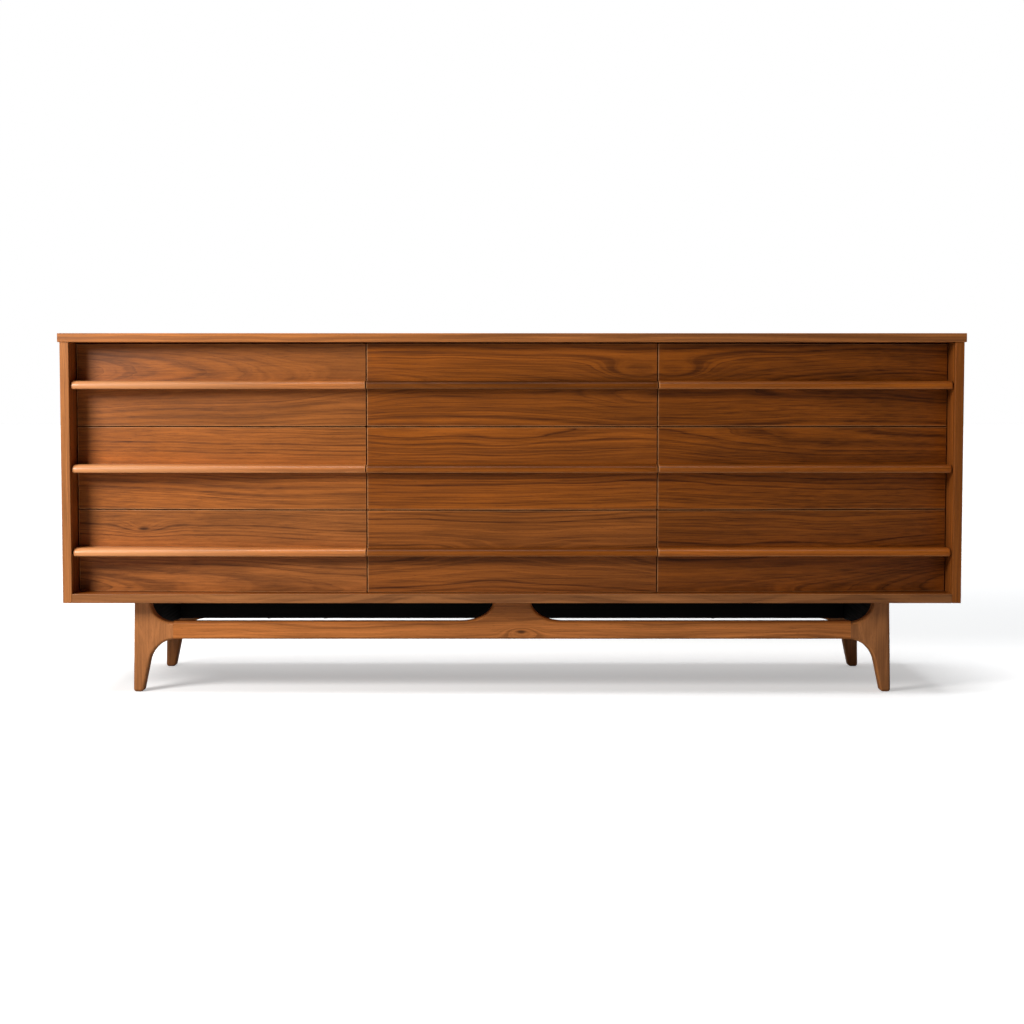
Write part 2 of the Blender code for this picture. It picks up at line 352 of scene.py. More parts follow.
# A place where the grain flows round a small knot: the shift bends the rings, the core is the knot itself.
def makeKnot():
    group, given, result = newGroup(
        "knot in the grain",
        [
            ("Place", "Vector", None),
            ("Centre", "Vector", None),
            ("Half Length", "Float", 0.05),
            ("Half Height", "Float", 0.02),
            ("Push", "Float", 0.02),
            ("Core Size", "Float", 0.12),
        ],
        [("Shift", "Float"), ("Core", "Float")],
    )
    away = splitVector(group, vectorCalc(group, "SUBTRACT", given["Place"], given["Centre"]))
    along = over(group, away["X"], given["Half Length"])
    across = over(group, away["Y"], given["Half Height"])
    squared = plus(group, times(group, along, along), times(group, across, across))
    fall = calc(group, "EXPONENT", times(group, squared, -1.0))
    reach = over(group, calc(group, "SQRT", squared), given["Core Size"])
    giveOut(group, result, {
        "Shift": times(group, fall, given["Push"]),
        "Core": minus(group, 1.0, between(group, reach, *knotRim)),
    })
    return group


toneShape = {
    "growth": 0.82,                # how much each part of the grain darkens the wood
    "streak": 0.12,
    "fibre": 1.9,
    "pore": 0.42,
    "core": 0.80,
    "coreColour": (0.022, 0.008, 0.004, 1),
    "figureRange": (0.30, 0.72),
    "sheen": (0.86, 1.14),
    "rough": (0.31, 0.41),
    "poreRough": 0.12,
    "fibreHeight": 0.35,
}


# Colour, roughness and height of walnut under lacquer, from its rings and fibres.
def makeWalnutTone():
    group, given, result = newGroup(
        "lacquered walnut",
        [
            ("Growth", "Float", 0.5),
            ("Streak", "Float", 0.5),
            ("Figure", "Float", 0.5),
            ("Fibre", "Float", 0.5),
            ("Pore", "Float", 0.0),
            ("Core", "Float", 0.0),
            ("Light Wood", "Color", (0.40, 0.15, 0.04, 1)),
            ("Dark Wood", "Color", (0.10, 0.03, 0.01, 1)),
            ("Contrast", "Float", 0.6),
            ("Depth", "Float", 1.0),
        ],
        [("Color", "Color"), ("Roughness", "Float"), ("Height", "Float")],
    )
    growth = times(group, given["Growth"], toneShape["growth"])
    streak = times(group, given["Streak"], toneShape["streak"])
    fibre = times(group, minus(group, given["Fibre"], 0.5), toneShape["fibre"])
    depth = plus(group, plus(group, growth, streak), fibre)
    depth = times(group, depth, given["Contrast"], clamp=True)
    colour = blendColours(group, depth, given["Light Wood"], given["Dark Wood"])
    sheen = between(group, given["Figure"], *toneShape["figureRange"], *toneShape["sheen"])
    colour = blendColours(group, 1.0, colour, greyOf(group, sheen), "MULTIPLY")
    pore = times(group, given["Pore"], toneShape["pore"])
    colour = blendColours(group, pore, colour, given["Dark Wood"])
    core = times(group, given["Core"], toneShape["core"])
    colour = blendColours(group, core, colour, toneShape["coreColour"])
    rough = between(group, depth, 0.0, 1.0, *toneShape["rough"])
    height = plus(group, given["Pore"], times(group, given["Fibre"], toneShape["fibreHeight"]))
    giveOut(group, result, {
        "Color": colour,
        "Roughness": plus(group, rough, times(group, given["Pore"], toneShape["poreRough"])),
        "Height": times(group, times(group, height, -1.0), given["Depth"]),
    })
    return group


patinaShape = {"wiped": (5, 9, 9), "wipedRoughness": 0.6, "wipedDepth": 0.30, "dents": (18, 40, 40)}


# Handling marks: faint wiped patches and small dents that break the gloss.
def makePatina():
    group, given, result = newGroup(
        "patina",
        [("Place", "Vector", None), ("Roughness", "Float", 0.4), ("Amount", "Float", 0.5)],
        [("Roughness", "Float"), ("Height", "Float")],
    )
    wiped = noise(group, given["Place"], patinaShape["wiped"], 4.0, patinaShape["wipedRoughness"])["Fac"]
    depth = times(group, given["Amount"], patinaShape["wipedDepth"])
    change = times(group, minus(group, wiped, 0.5), depth)
    dents = noise(group, given["Place"], patinaShape["dents"])["Fac"]
    giveOut(group, result, {
        "Roughness": plus(group, given["Roughness"], change, clamp=True),
        "Height": times(group, dents, given["Amount"]),
    })
    return group


edgeLightShape = {
    "lowerHighlight": 0.7,
    "rim": (0.35, 1.0),
    "patches": (70, 90, 90),
    "patchRange": (0.25, 0.6),
    "leastHighlight": 0.45,
    "creaseShadeRange": (0.2, 1.2),
    "bleachReach": 0.52,           # how far the painted sheen reaches in from the left end
}


# Painted light and shade on a piece: highlights along its edges, broken into patches, shade in the crease
# along its upper edge, and a sheen towards its left end.
def makeEdgeLight():
    group, given, result = newGroup(
        "painted edge light and shade",
        [
            ("Place", "Vector", None),
            ("Middle", "Vector", None),
            ("Half Length", "Float", 0.3),
            ("Half Height", "Float", 0.08),
            ("Width", "Float", 0.0016),
            ("Upper Highlight", "Float", 1.0),
            ("Left Highlight", "Float", 1.0),
            ("Right Highlight", "Float", 1.0),
            ("Crease", "Float", 0.005),
        ],
        [("Highlight", "Float"), ("Crease Shade", "Float"), ("Left Sheen", "Float")],
    )
    away = splitVector(group, vectorCalc(group, "SUBTRACT", given["Place"], given["Middle"]))
    fromLower = plus(group, given["Half Height"], away["Y"])
    fromUpper = minus(group, given["Half Height"], away["Y"])
    fromLeft = plus(group, given["Half Length"], away["X"])
    fromRight = minus(group, given["Half Length"], away["X"])
    edges = (
        (fromLower, edgeLightShape["lowerHighlight"]),
        (fromUpper, given["Upper Highlight"]),
        (fromLeft, given["Left Highlight"]),
        (fromRight, given["Right Highlight"]),
    )
    litEdges = 0.0
    for inward, amount in edges:
        rim = between(group, over(group, inward, given["Width"]), *edgeLightShape["rim"], 1.0, 0.0)
        litEdges = calc(group, "MAXIMUM", litEdges, times(group, rim, amount))
    patches = noise(group, given["Place"], edgeLightShape["patches"])["Fac"]
    patches = between(group, patches, *edgeLightShape["patchRange"], edgeLightShape["leastHighlight"], 1.0)
    crease = over(group, fromUpper, given["Crease"])
    giveOut(group, result, {
        "Highlight": times(group, litEdges, patches),
        "Crease Shade": between(group, crease, *edgeLightShape["creaseShadeRange"], 1.0, 0.0),
        "Left Sheen": between(group, fromLeft, 0.0, edgeLightShape["bleachReach"], 1.0, 0.0),
    })
    return group


growthRings = makeGrowthRings()
edgeLightGroup = makeEdgeLight()
fibresAndPores = makeFibres()
knotInGrain = makeKnot()
walnutTone = makeWalnutTone()
patina = makePatina()
print("shader groups ready")


# materials

# which of the object's own axes run along the grain, across it and into the board
grainTurns = {
    "x": ("X", "Z", "Y"),
    "y": ("Y", "X", "Z"),
    "z": ("Z", "X", "Y"),
    "top": ("X", "Y", "Z"),
    "side": ("Z", "Y", "X"),
}


def startMaterial(name):
    material = bpy.data.materials.new(name)
    material.use_nodes = True
    tree = material.node_tree
    shader = tree.nodes["Principled BSDF"]
    return material, tree, shader


def finishMaterial(tree, shader, colour, rough, height, look):
    values = {"Height": height, "Strength": look["bump"], "Distance": look["bumpDistance"]}
    bump = addNode(tree, "Bump", values)
    tree.links.new(colour, shader.inputs["Base Color"])
    tree.links.new(rough, shader.inputs["Roughness"])
    tree.links.new(bump.outputs["Normal"], shader.inputs["Normal"])


def grainPlace(tree, grain, mirrored=False):
    own = splitVector(tree, addNode(tree, "TexCoord").outputs["Object"])
    along, across, into = (own[axis] for axis in grainTurns[grain])
    if mirrored:
        along = times(tree, along, -1.0)
    return joinVector(tree, along, across, into)


walnutLook = {
    "lightWood": (0.440, 0.118, 0.0120),
    "darkWood": (0.098, 0.0225, 0.0019),
    "sheenGain": (0, 0.45, 3.5),    # how much a full painted sheen raises each colour, paling the wood as a white reflection does
    # colour of the painted edge highlights and the left-end sheen
    "paintedHighlightWood": (0.62, 0.28, 0.11),
    # multiplied in for the painted shade in the upper crease
    "creaseShade": (0.30, 0.26, 0.24, 1),
    "bump": 0.10,
    "bumpDistance": 0.0006,
    "specular": 0.26,
}


# scales a colour by light, which is partly the wood's own tone and partly painted light and shade, and pales
# it with a painted sheen
def addPaintedSheen(colour, light, paintedSheen):
    sheened = [channel * light * (1 + gain * paintedSheen) for channel, gain in zip(colour, walnutLook["sheenGain"])]
    return (*sheened, 1)


# light scales the wood's colours: partly the board's own tone, partly painted light and shade
def makeWalnut(name, grain="x", seed=0.0, light=1.0, middle=(0, 0, 0), pith=(0.03, 0.11), wander=0.06,
               ringWidth=0.0068, contrast=1.0, knots=(), mirrored=False, paintedSheen=0.0, gloss=1.0, edgeLight=None):
    material, tree, shader = startMaterial(name)
    turned = grainPlace(tree, grain, mirrored)
    place = vectorCalc(tree, "SUBTRACT", turned, middle)
    shift = 0.0
    core = 0.0
    for knot in knots:
        eye = placeGroup(tree, knotInGrain, {
            "Place": turned,
            "Centre": knot["centre"],
            "Half Length": knot["size"][0],
            "Half Height": knot["size"][1],
            "Push": knot["push"],
            "Core Size": knot["core"],
        })
        shift = plus(tree, shift, eye["Shift"])
        core = calc(tree, "MAXIMUM", core, eye["Core"])
    rings = placeGroup(tree, growthRings, {
        "Place": place,
        "Pith Across": pith[0],
        "Pith Depth": pith[1],
        "Wander": wander,
        "Ring Width": ringWidth,
        "Shift": shift,
        "Seed": seed,
    })
    fibres = placeGroup(tree, fibresAndPores, {"Place": place, "Seed": seed})
    tone = placeGroup(tree, walnutTone, {
        "Growth": rings["Growth"],
        "Streak": rings["Streak"],
        "Figure": rings["Figure"],
        "Fibre": fibres["Fibre"],
        "Pore": fibres["Pore"],
        "Core": core,
        "Light Wood": addPaintedSheen(walnutLook["lightWood"], light, paintedSheen),
        "Dark Wood": addPaintedSheen(walnutLook["darkWood"], light, paintedSheen),
        "Contrast": contrast,
    })
    handled = placeGroup(tree, patina, {"Place": place, "Roughness": tone["Roughness"]})
    colour = tone["Color"]
    if edgeLight:
        colour = paintEdgeLight(tree, turned, colour, edgeLight, light)
    height = plus(tree, tone["Height"], handled["Height"])
    finishMaterial(tree, shader, colour, handled["Roughness"], height, walnutLook)
    shader.inputs["Specular IOR Level"].default_value = walnutLook["specular"] * gloss
    return material


# paints highlights on a piece's edges, shade in its upper crease and a sheen at its left end into its colour
def paintEdgeLight(tree, turned, colour, edgeLight, light):
    low, high = edgeLight["box"]
    middle = (low + high) / 2
    mirrored = edgeLight["mirrored"]
    edges = placeGroup(tree, edgeLightGroup, {
        "Place": turned,
        "Middle": (-middle.x if mirrored else middle.x, middle.z, 0),
        "Half Length": (high.x - low.x) / 2,
        "Half Height": (high.z - low.z) / 2,
        "Width": edgeLight["width"],
        "Upper Highlight": edgeLight["upper"],
        "Left Highlight" if mirrored else "Right Highlight": edgeLight["rightEnd"],
        "Crease": edgeLight["crease"],
    })
    highlightColour = (*(channel * light for channel in walnutLook["paintedHighlightWood"]), 1)
    # pales the wood towards the left end: a painted sheen
    if edgeLight["bleach"]:
        colour = blendColours(tree, times(tree, edges["Left Sheen"], edgeLight["bleach"]), colour, highlightColour)
    # darkens towards the upper crease: painted shade
    if edgeLight["creaseShade"]:
        shadedColour = blendColours(tree, 1.0, colour, walnutLook["creaseShade"], "MULTIPLY")
        colour = blendColours(tree, times(tree, edges["Crease Shade"], edgeLight["creaseShade"]), colour, shadedColour)
    return blendColours(tree, times(tree, edges["Highlight"], edgeLight["amount"]), colour, highlightColour)


paleWoods = {
    "maple": {
        "light": (0.74, 0.49, 0.26, 1),
        "dark": (0.52, 0.30, 0.14, 1),
        "rough": (0.46, 0.60),
        "ringWidth": 0.012,
    },
    "plywood": {
        "light": (0.62, 0.41, 0.22, 1),
        "dark": (0.38, 0.22, 0.10, 1),
        "rough": (0.60, 0.74),
        "ringWidth": 0.020,
    },
}
paleWoodLook = {
    "growth": 0.55,
    "fibre": 0.45,
    "pore": 0.25,
    "poreLength": 0.004,
    "handling": 0.7,
    "bump": 0.15,
    "bumpDistance": 0.0005,
}


def makePaleWood(name, kind, grain="x", seed=0.0):
    wood = paleWoods[kind]
    look = paleWoodLook
    material, tree, shader = startMaterial(name)
    place = grainPlace(tree, grain)
    start = {"Place": place, "Seed": seed}
    rings = placeGroup(tree, growthRings, {**start, "Ring Width": wood["ringWidth"]})
    fibres = placeGroup(tree, fibresAndPores, {**start, "Pore Length": look["poreLength"]})
    depth = times(tree, rings["Growth"], look["growth"])
    depth = plus(tree, depth, times(tree, fibres["Fibre"], look["fibre"]))
    colour = blendColours(tree, depth, wood["light"], wood["dark"])
    colour = blendColours(tree, times(tree, fibres["Pore"], look["pore"]), colour, wood["dark"])
    rough = between(tree, depth, 0, 1, *wood["rough"])
    handled = placeGroup(tree, patina, {"Place": place, "Amount": look["handling"], "Roughness": rough})
    height = plus(tree, handled["Height"], times(tree, fibres["Pore"], -1.0))
    finishMaterial(tree, shader, colour, handled["Roughness"], height, look)
    return material


blackPaintLook = {
    "colour": (0.0085, 0.0085, 0.0070, 1),
    "rubbed": (0.014, 0.012, 0.010, 1),
    "rough": (0.54, 0.72),
    "brush": (5, 260, 260),
    "patches": (6, 14, 14),
    "bump": 0.25,
    "bumpDistance": 0.0004,
    "specular": 0.25,
}


def makeBlackPaint(name, grain="x"):
    look = blackPaintLook
    material, tree, shader = startMaterial(name)
    place = grainPlace(tree, grain)
    brush = noise(tree, place, look["brush"], 3.0)["Fac"]
    patches = noise(tree, place, look["patches"], 4.0, 0.65)["Fac"]
    colour = blendColours(tree, between(tree, patches, 0.45, 0.75), look["colour"], look["rubbed"])
    rough = between(tree, brush, 0.3, 0.7, *look["rough"])
    finishMaterial(tree, shader, colour, rough, brush, look)
    shader.inputs["Specular IOR Level"].default_value = look["specular"]
    return material


screwSteelLook = {
    "bright": (0.30, 0.29, 0.27, 1),
    "stained": (0.10, 0.085, 0.07, 1),
    "stains": (160, 160, 160),
    "rough": (0.34, 0.6),
}


def makeScrewSteel(name):
    look = screwSteelLook
    material, tree, shader = startMaterial(name)
    stain = noise(tree, addNode(tree, "TexCoord").outputs["Object"], look["stains"], 3.0)["Fac"]
    colour = blendColours(tree, between(tree, stain, 0.4, 0.7), look["bright"], look["stained"])
    tree.links.new(colour, shader.inputs["Base Color"])
    tree.links.new(between(tree, stain, 0.3, 0.7, *look["rough"]), shader.inputs["Roughness"])
    shader.inputs["Metallic"].default_value = 1.0
    return material


blackPaint = makeBlackPaint("black paint")
blackPaintSides = makeBlackPaint("black paint on the side rails", "y")
mapleSides = makePaleWood("maple, drawer sides", "maple", "y", 3.1)
mapleBack = makePaleWood("maple, drawer back", "maple", "x", 7.7)
plywood = makePaleWood("plywood", "plywood", "top", 1.3)
plywoodBack = makePaleWood("plywood, case back", "plywood", "x", 5.9)
screwSteel = makeScrewSteel("screw steel")
print("pale wood, paint and steel ready")


# case

case = {
    "lip": 0.006,                  # solid edging round the veneered boards
    "lipGap": 0.00012,
    "arris": 0.0011,
    "arrisSteps": 3,
    "veneerArris": 0.00025,
}
edgingGrain = {"ringWidth": 0.006, "contrast": 0.7}


def frontEdgedBoard(name, node, veneer, edging):
    low, high = nodeBox(node)
    lip = case["lip"]
    panel = boxMesh((low.x, low.y + lip + case["lipGap"], low.z), high)
    panel = addPiece(name + "Panel", panel, veneer, "case", (node,))
    softenEdges(panel, case["arris"], 2)
    strip = addPiece(name + "Lip", boxMesh(low, (high.x, low.y + lip, high.z)), edging, "case")
    softenEdges(strip, case["arris"], case["arrisSteps"])


def mitredBoard(name, node, veneer, edging):
    # a veneered panel with solid edging all round, mitred at the corners
    low, high = nodeBox(node)
    lip = case["lip"]
    inset = Vector((lip + case["lipGap"], lip + case["lipGap"], 0))
    mitre = Vector((lip, lip, 0))
    inLow = low + mitre
    inHigh = high - mitre
    panel = addPiece(name + "Panel", boxMesh(low + inset, high - inset), veneer, "case", (node,))
    softenEdges(panel, case["veneerArris"], 1)
    corners = {
        "front": ((low.x, low.y), (high.x, low.y), (inHigh.x, inLow.y), (inLow.x, inLow.y)),
        "rear": ((high.x, high.y), (low.x, high.y), (inLow.x, inHigh.y), (inHigh.x, inHigh.y)),
        "left": ((low.x, high.y), (low.x, low.y), (inLow.x, inLow.y), (inLow.x, inHigh.y)),
        "right": ((high.x, low.y), (high.x, high.y), (inHigh.x, inHigh.y), (inHigh.x, inLow.y)),
    }
    for side, outline in corners.items():
        strip = slabMesh(outline, "z", low.z, high.z)
        weightOuter(strip, low, high)
        strip = addPiece(name + "Lip" + side.title(), strip, edging[side], "case")
        softenEdges(strip, case["arris"], case["arrisSteps"], weighted=True)


def weightOuter(mesh, low, high):
    # only the edges on the outside of the board are rounded, so the mitres stay tight
    body = bmesh.new()
    body.from_mesh(mesh)
    weight = body.edges.layers.float.new("bevel_weight_edge")
    for edge in body.edges:
        level = abs(edge.verts[0].co.z - edge.verts[1].co.z) < near
        places = [vert.co for vert in edge.verts]
        outer = all(min(p.x - low.x, high.x - p.x, p.y - low.y, high.y - p.y) < near for p in places)
        edge[weight] = 1.0 if level and outer else 0.0
        edge.smooth = edge[weight] > 0
    body.to_mesh(mesh)
    body.free()


def buildCase():
    topVeneer = makeWalnut("walnut, top veneer", "top", 4.2, 0.90, pith=(0.10, 0.52), wander=0.07, paintedSheen=0.3)
    edgeRun = makeWalnut("walnut, top edging", "x", 11.3, 1.14, pith=(0.4, 0.06), wander=0.05, paintedSheen=0.62,
                         gloss=1.3, **edgingGrain)
    edgeEnd = makeWalnut("walnut, top end edging", "y", 9.4, pith=(0.4, 0.06), paintedSheen=0.8, **edgingGrain)
    edging = {"front": edgeRun, "rear": edgeRun, "left": edgeEnd, "right": edgeEnd}
    mitredBoard("top", "top", topVeneer, edging)
    sideVeneer = makeWalnut("walnut, side veneer", "side", 6.6, 0.92, pith=(0.04, 0.60), paintedSheen=0.2)
    # the left side edging is painted lighter and with more sheen than the right, as light from the left falls
    # on it; the other edgings carry painted sheen too
    for side, seed, light, paintedSheen in (("left", 3.8, 1.0, 0.8), ("right", 3.68, 0.88, 0.1)):
        sideLip = makeWalnut("walnut, " + side + " side edging", "z", seed, light, pith=(0.3, 0.05),
                             paintedSheen=paintedSheen, **edgingGrain)
        frontEdgedBoard("side" + side.title(), "side_" + side, sideVeneer, sideLip)
    bottomVeneer = makeWalnut("walnut, bottom board", "top", 8.1, 0.9, pith=(0.02, 0.12), wander=0.10)
    bottomLip = makeWalnut("walnut, bottom edging", "x", 21.7, 0.92, pith=(0.3, 0.07), paintedSheen=0.85, gloss=1.3,
                           **edgingGrain)
    frontEdgedBoard("bottom", "bottom", bottomVeneer, bottomLip)
    partition = makeWalnut("walnut, partitions", "side", 14.5, 0.9, wander=0.10)
    for side in ("left", "right"):
        dress("divider_" + side, partition)
    for level in ("lower", "upper"):
        for column in columnNames:
            dress("shelf_" + level + "_" + column, plywood)
    dress("back", plywoodBack)


def dress(node, material):
    # the finish of a CAD node that is shown as it is
    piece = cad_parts[node]
    piece.data.materials.clear()
    piece.data.materials.append(material)


screw = {
    "radius": 0.0042,
    "dome": 0.0017,
    "profile": ((1.0, 0.0), (0.97, 0.35), (0.82, 0.72), (0.55, 0.92), (0.28, 1.0)),
    "sides": 20,
    "slotWidth": 0.0009,
    "slotDepth": 0.0008,
    "slotRise": 0.5,               # the slot starts this far up the dome
    "inset": 0.012,                # in from the edges of the back panel
    "spacesAlong": 10,
    "spacesUp": 4,
    "railPlaces": (-0.545, -0.419, 0.0, 0.451),
}


def addScrew(body, centre, axis):
    # a domed head with a slot, turned to look along axis
    rings = []
    turn = Vector((0, 0, 1)).rotation_difference(Vector(axis)).to_matrix()
    count = screw["sides"]
    for width, rise in screw["profile"]:
        ring = []
        for i in range(count):
            angle = 2 * math.pi * i / count
            x = math.cos(angle) * width * screw["radius"]
            y = math.sin(angle) * width * screw["radius"]
            inSlot = abs(y) < screw["slotWidth"] and rise > screw["slotRise"]
            z = rise * screw["dome"] - (screw["slotDepth"] if inSlot else 0)
            ring.append(body.verts.new(Vector(centre) + turn @ Vector((x, y, z))))
        rings.append(ring)
    closeLoft(body, rings)


def buildScrews():
    low, high = nodeBox("back")
    body = bmesh.new()
    inset = screw["inset"]
    for x in steps(low.x + inset, high.x - inset, screw["spacesAlong"]):
        for z in (low.z + inset, high.z - inset):
            addScrew(body, (x, high.y, z), (0, 1, 0))
    for x in (low.x + inset, high.x - inset):
        for z in steps(low.z + inset, high.z - inset, screw["spacesUp"])[1:-1]:
            addScrew(body, (x, high.y, z), (0, 1, 0))
    heads = addPiece("backScrews", meshFrom(body), screwSteel, "case")
    heads.data.shade_smooth()
    low, high = nodeBox("rail_rear")
    body = bmesh.new()
    for x in screw["railPlaces"]:
        addScrew(body, (x, (low.y + high.y) / 2, low.z), (0, 0, -1))
    heads = addPiece("railScrews", meshFrom(body), blackPaint, "case")
    heads.data.shade_smooth()


buildCase()
buildScrews()
print("case ready")


# drawers

caseFront = nodeBox("side_left")[0].y
innerHalf = nodeBox("side_right")[0].x

front = {
    "recess": 0.024,               # bow behind the case front on the centre line
    "sag": 0.038,
    "thickness": 0.020,
    "steps": 26,
    "arris": 0.0009,
    "arrisSteps": 3,
}
pull = {
    "recess": 0.001,
    "sag": 0.006,
    "topRun": 0.013,               # rounded upper nose
    "topDrop": 0.010,
    "topSteps": 12,
    "bottomRound": 0.004,
    "bottomSteps": 6,
    "endRound": 0.0032,            # at the two ends of a row
    "jointRound": 0.0007,          # where two pulls meet
    "roundSteps": 5,
    "steps": 30,
    "sharpAngle": 38,
}


def arcAt(x, recess, sag, inset=0.0):
    radius = (innerHalf ** 2 + sag ** 2) / (2 * sag)
    return caseFront + recess + radius - math.sqrt((radius - inset) ** 2 - x ** 2)


def bowAt(x, inset=0.0):
    return arcAt(x, front["recess"], front["sag"], inset)


def buildFront(key, material, body):
    low, high = nodeBox("front_" + key)
    stations = steps(low.x, high.x, front["steps"])
    face = [(x, bowAt(x)) for x in stations]
    rear = [(x, bowAt(x, front["thickness"])) for x in reversed(stations)]
    mesh = slabMesh(face + rear, "z", low.z, high.z)
    piece = addPiece("front_" + key + "_board", mesh, material, body, ("front_" + key,))
    softenEdges(piece, front["arris"], front["arrisSteps"])


def pullRing(x, low, high, inset):
    tip = arcAt(x, pull["recess"], pull["sag"]) + inset
    root = bowAt(x) - cadGap
    top = high - inset
    bottom = low + inset
    run = pull["topRun"]
    drop = pull["topDrop"] - inset * 0.5
    lower = pull["bottomRound"]
    points = [(root, top)]
    points += arcPoints((tip + run, top - drop), (run, drop), 90, 180, pull["topSteps"])
    points += arcPoints((tip + lower, bottom + lower), (lower, lower), 180, 270, pull["bottomSteps"])
    points.append((root, bottom))
    return [(x, y, z) for y, z in points]


def buildPull(key, material, body):
    low, high = nodeBox("pull_" + key)
    leftRound = pull["endRound" if key.endswith("left") else "jointRound"]
    rightRound = pull["endRound" if key.endswith("right") else "jointRound"]
    sections = [(x, 0.0) for x in steps(low.x, high.x, pull["steps"])]
    for edge, inward, size in ((low.x, 1, leftRound), (high.x, -1, rightRound)):
        sections = [section for section in sections if abs(section[0] - edge) > size * 1.5]
        for angle in steps(0, 90, pull["roundSteps"]):
            away = size * (1 - math.cos(math.radians(angle)))
            inset = size * (1 - math.sin(math.radians(angle)))
            sections.append((edge + inward * away, inset))
    sections.sort()
    shape = bmesh.new()
    rings = [[shape.verts.new(point) for point in pullRing(x, low.z, high.z, inset)] for x, inset in sections]
    closeLoft(shape, rings)
    piece = addPiece("pull_" + key + "_lip", meshFrom(shape), material, body, ("pull_" + key,))
    piece.data.shade_smooth()
    piece.data.set_sharp_from_angle(angle=math.radians(pull["sharpAngle"]))


drawerBox = {
    "wall": 0.012,
    "tails": 4,                    # dovetails at each rear corner
    "tailHalf": 0.31,              # half the width of a tail, as a share of their spacing
    "flare": 0.0035,
    "fit": 0.00012,
    "arris": 0.0004,
    "arrisAngle": 60,
}


def tailEdges(low, high):
    # heights where the tails start and stop, from the bottom up
    pitch = (high - low) / drawerBox["tails"]
    half = pitch * drawerBox["tailHalf"]
    middles = [low + pitch * (i + 0.5) for i in range(drawerBox["tails"])]
    return [(middle - half, middle + half) for middle in middles]


def buildBox(key, body):
    low, high = nodeBox("box_" + key)
    wall = drawerBox["wall"]
    flare = drawerBox["flare"]
    fit = drawerBox["fit"]
    tails = tailEdges(low.z, high.z)
    shoulder = high.y - wall
    clear = front["thickness"] + cadGap
    stands = ("box_" + key,)
    for side, start in (("Left", low.x), ("Right", high.x - wall)):
        frontY = bowAt(start, clear)
        if side == "Right":
            frontY = max(frontY, bowAt(start + wall, clear))
        outline = [(frontY, low.z), (shoulder, low.z)]
        for bottom, top in tails:
            outline += [(shoulder, bottom + flare), (high.y, bottom), (high.y, top), (shoulder, top - flare)]
        outline += [(shoulder, high.z), (frontY, high.z)]
        mesh = slabMesh(outline, "x", start, start + wall)
        piece = addPiece("box_" + key + side, mesh, mapleSides, body, stands)
        softenEdges(piece, drawerBox["arris"], 1, drawerBox["arrisAngle"])
        stands = ()
    rear = bmesh.new()
    inLeft = low.x + wall + fit
    inRight = high.x - wall - fit
    panel = [(inLeft, low.z), (inRight, low.z), (inRight, high.z), (inLeft, high.z)]
    addSlab(rear, panel, "y", shoulder, high.y)
    stops = [low.z] + [height for pair in tails for height in pair] + [high.z]
    pins = list(zip(stops[::2], stops[1::2]))
    for bottom, top in pins:
        innerBottom = bottom if bottom == low.z else bottom - flare
        innerTop = top if top == high.z else top + flare
        outline = [
            (shoulder + fit, innerBottom + fit),
            (high.y, bottom + fit),
            (high.y, top - fit),
            (shoulder + fit, innerTop - fit),
        ]
        for start in (low.x, high.x - wall + fit):
            addSlab(rear, outline, "x", start, start + wall - fit)
    addPiece("box_" + key + "Back", meshFrom(rear), mapleBack, body)


# figure of each front: the board's own place in the log; how light it is, partly its own tone and partly
# painted light falling off from left to right; and how much painted sheen it has
frontFigure = {
    "top_left": {
        "seed": 1.7, "pith": (0.66, -0.15), "light": 0.82, "paintedSheen": 0.38, "wander": 0.045, "contrast": 0.75,
    },
    "top_centre": {
        "seed": 3.3, "pith": (0.62, -0.18), "light": 0.83, "paintedSheen": 0.0, "wander": 0.05,
        "knot": {"x": 0.262, "z": 0.655, "size": (0.085, 0.025), "push": 0.036, "core": 0.0001},
    },
    "top_right": {
        "seed": 3.3, "pith": (0.62, -0.18), "light": 0.78, "paintedSheen": -0.07, "wander": 0.05, "mirrored": True,
        "knot": {"x": 0.329, "z": 0.655, "size": (0.085, 0.025), "push": 0.036, "core": 0.0001},
    },
    "middle_left": {
        "seed": 5.9, "pith": (0.36, -0.18), "light": 0.95, "paintedSheen": 0.3, "wander": 0.05, "contrast": 0.85,
    },
    "middle_centre": {"seed": 7.2, "pith": (0.56, -0.14), "light": 0.91, "paintedSheen": 0.0, "wander": 0.05},
    "middle_right": {
        "seed": 7.2, "pith": (0.56, -0.14), "light": 0.78, "paintedSheen": -0.07, "wander": 0.05, "mirrored": True,
    },
    "bottom_left": {
        "seed": 9.5, "pith": (0.22, -0.16), "light": 0.94, "paintedSheen": 0.46, "wander": 0.045, "contrast": 0.88,
        "knot": {"x": -0.755, "z": 0.336, "size": (0.050, 0.016), "push": 0.016, "core": 0.24},
    },
    "bottom_centre": {"seed": 12.1, "pith": (0.28, -0.15), "light": 0.87, "paintedSheen": 0.2, "wander": 0.06},
    "bottom_right": {"seed": 12.9, "pith": (0.22, -0.15), "light": 0.78, "paintedSheen": 0.0, "wander": 0.06},
}
bookMatch = 0.591                  # the right front at x shows the centre front's figure at this less x
# painted highlights on the fronts' edges, strongest on their left edges where the light falls
frontEdgeLight = {
    "width": 0.0024, "upper": 0.5, "rightEnd": 0.15, "amount": 0.8, "crease": 0.005,
    "bleach": 0.0, "creaseShade": 0.0,
}


